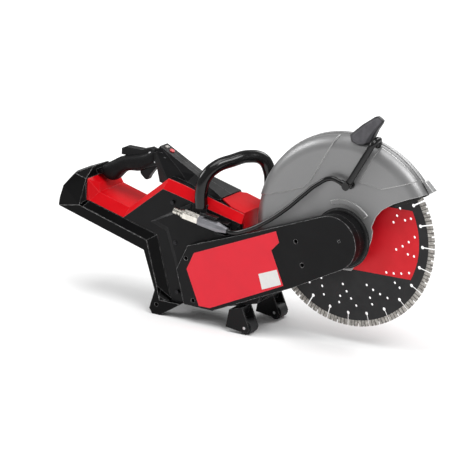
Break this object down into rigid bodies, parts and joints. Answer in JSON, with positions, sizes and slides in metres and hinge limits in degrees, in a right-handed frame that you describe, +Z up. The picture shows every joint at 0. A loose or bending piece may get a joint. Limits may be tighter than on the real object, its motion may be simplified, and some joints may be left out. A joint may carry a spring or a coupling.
{
  "type": "rescue saw",
  "caption": "Battery rescue cut-off saw with a diamond blade, tilting guard, belt-drive arm, water feed, hoop front handle and trigger rear handle.",
  "frame": {"origin": "on the ground, under the middle of the saw's overall box", "axes": "+X forward towards the blade, +Y to the operator's left, +Z up"},
  "size_m": [0.8108, 0.1494, 0.449],
  "materials": {
    "black_plastic": "satin moulded black",
    "red_plastic": "semi-gloss moulded red",
    "grip_rubber": "fine grained overmould",
    "bumper_plastic": "satin black",
    "red_panel": "satin printed panel",
    "cover_plastic": "fine textured black",
    "guard_metal": "satin grey",
    "lever_rubber": "smooth dark grey",
    "flap_rubber": "matt",
    "blade_plate": "black with a red printed field",
    "segment_metal": "sintered, gritty",
    "steel": "machined",
    "dark_steel": "black oxide",
    "cast_black": "black painted casting",
    "aluminium": "turned",
    "belt_rubber": "ribbed",
    "tube_black": "gloss black tube",
    "hose_rubber": "smooth",
    "nickel": "nickel plated",
    "valve_grey": "grey",
    "laminations": "stacked",
    "board": "potted",
    "lens": "clear window",
    "wheel_rubber": "hard",
    "button_plastic": "pale grey"
  },
  "bodies": {
    "root": {"belt_cover": "cover_plastic", "belt_cover_panel": "red_panel", "belt_cover_screws": "dark_steel", "bumper_rails": "bumper_plastic", "controller": "board", "drive_belt": "belt_rubber", "front_feet": "black_plastic", "front_handle": "tube_black", "front_handle_grip": "grip_rubber", "handle_grip": "grip_rubber", "handle_pins": "steel", "handle_tray": "red_plastic", "hoop_saddles": "black_plastic", "housing_screws": "dark_steel", "idler_pin": "steel", "left_housing": "black_plastic", "motor_bearings": "steel", "motor_end_cap": "aluminium", "motor_stator": "laminations", "rear_bumper": "bumper_plastic", "right_housing": "black_plastic", "spindle_bearings": "steel", "status_lens": "lens", "support_arm": "cast_black", "terminal_block": "black_plastic", "top_trim": "red_plastic", "trigger_spring": "steel", "trigger_switch": "black_plastic", "valve_body": "valve_grey", "valve_holder": "black_plastic", "water_coupler": "nickel", "water_hose": "hose_rubber", "wheel_axles": "steel", "wiring": "hose_rubber"},
    "blade_set": {"blade_core": "blade_plate", "blade_segments": "segment_metal", "spindle": "steel", "inner_flange": "steel", "outer_flange": "steel", "arbor_bolt": "steel", "blade_pulley": "aluminium"},
    "motor_rotor_set": {"motor_rotor": "steel", "drive_pulley": "aluminium", "motor_fan": "black_plastic"},
    "idler": {"idler_pulley": "aluminium"},
    "guard": {"guard_shell": "guard_metal", "guard_outer_plate": "guard_metal", "guard_lip": "guard_metal", "guard_flap": "flap_rubber", "guard_clamp_ring": "steel", "guard_screws": "steel", "guard_handle": "lever_rubber", "hose_elbow": "tube_black", "guard_tube": "tube_black"},
    "trigger": {"trigger": "black_plastic"},
    "lockoff": {"lockoff_lever": "black_plastic"},
    "valve_handle": {"valve_lever": "black_plastic"},
    "power_switch": {"power_button": "button_plastic"},
    "right_wheel": {"right_wheel": "wheel_rubber"},
    "left_wheel": {"left_wheel": "wheel_rubber"}
  },
  "joints": [
    {"name": "blade_spin", "type": "hinge", "parent": "root", "child": "blade_set", "pos_m": [0.2276, 0.00275, 0.213], "axis": [0, 1, 0], "continuous": true},
    {"name": "motor_spin", "type": "hinge", "parent": "root", "child": "motor_rotor_set", "pos_m": [-0.0204, 0.00275, 0.115], "axis": [0, 1, 0], "continuous": true},
    {"name": "idler_spin", "type": "hinge", "parent": "root", "child": "idler", "pos_m": [0.11999, -0.05725, 0.12252], "axis": [0, 1, 0], "continuous": true},
    {"name": "guard_tilt", "type": "hinge", "parent": "root", "child": "guard", "pos_m": [0.2276, -0.02525, 0.213], "axis": [0, 1, 0], "range_deg": [-20, 30], "deforming": ["water_hose"]},
    {"name": "trigger_pull", "type": "hinge", "parent": "root", "child": "trigger", "pos_m": [-0.2024, 0.00275, 0.295], "axis": [0, 1, 0], "range_deg": [0, 9], "deforming": ["trigger_spring"]},
    {"name": "lockoff_press", "type": "hinge", "parent": "root", "child": "lockoff", "pos_m": [-0.2144, 0.00275, 0.312], "axis": [0, -1, 0], "range_deg": [0, 5]},
    {"name": "valve_turn", "type": "hinge", "parent": "root", "child": "valve_handle", "pos_m": [-0.05759, -0.06425, 0.21078], "axis": [-0.1754, 0, -0.9845], "range_deg": [0, 90]},
    {"name": "power_press", "type": "slide", "parent": "root", "child": "power_switch", "axis": [-0.476, 0, -0.8795], "range_m": [0, 0.0015]},
    {"name": "right_wheel_spin", "type": "hinge", "parent": "root", "child": "right_wheel", "pos_m": [0.0406, -0.05225, 0.014], "axis": [0, 1, 0], "continuous": true},
    {"name": "left_wheel_spin", "type": "hinge", "parent": "root", "child": "left_wheel", "pos_m": [0.0406, 0.05775, 0.014], "axis": [0, 1, 0], "continuous": true}
  ],
  "couplings": [
    {"joint": "motor_spin", "follows": "blade_spin", "ratio": 1.7273},
    {"joint": "idler_spin", "follows": "blade_spin", "ratio": -3.4545}
  ]
}
